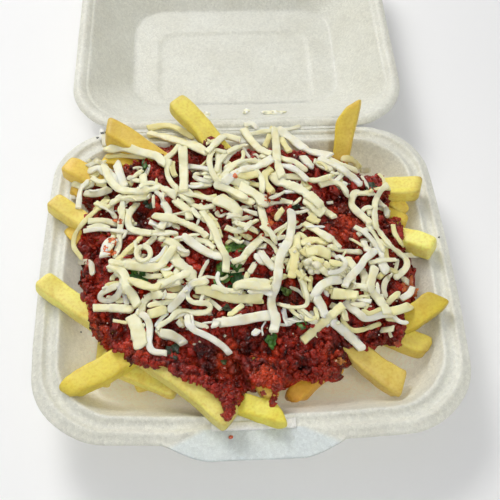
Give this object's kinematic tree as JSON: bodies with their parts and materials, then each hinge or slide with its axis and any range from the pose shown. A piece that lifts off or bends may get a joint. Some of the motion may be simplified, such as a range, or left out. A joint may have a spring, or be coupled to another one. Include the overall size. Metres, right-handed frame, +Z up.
{
  "type": "chili beef loaded fries",
  "caption": "Thick-cut fries heaped with chili minced beef, grated white cheese and chopped herbs in an open hinged foam meal box.",
  "frame": {"origin": "centre of the tray's flat underside", "axes": "+Z up, +Y from the tray towards the hinge and the open lid, +X to the right as seen from the front tab"},
  "size_m": [0.2488, 0.4471, 0.0645],
  "materials": {
    "foam": "expanded foam with fine beads, soft satin",
    "fries": "fried potato, smooth and slightly oily, golden edges",
    "beef": "wet dark red minced meat in sauce",
    "cheese": "grated white cheese, soft satin",
    "herb": "chopped green herb leaves",
    "sauce": "bright orange-red sauce specks"
  },
  "bodies": {
    "tray": {"tray": "foam", "fries": "fries", "chili_beef": "beef", "cheese": "cheese"},
    "lid": {"lid": "foam"}
  },
  "joints": [
    {"name": "lid_hinge", "type": "hinge", "parent": "tray", "child": "lid", "pos_m": [0, 0.1122, 0.03815], "axis": [1, 0, 0], "range_deg": [0, 80]}
  ]
}
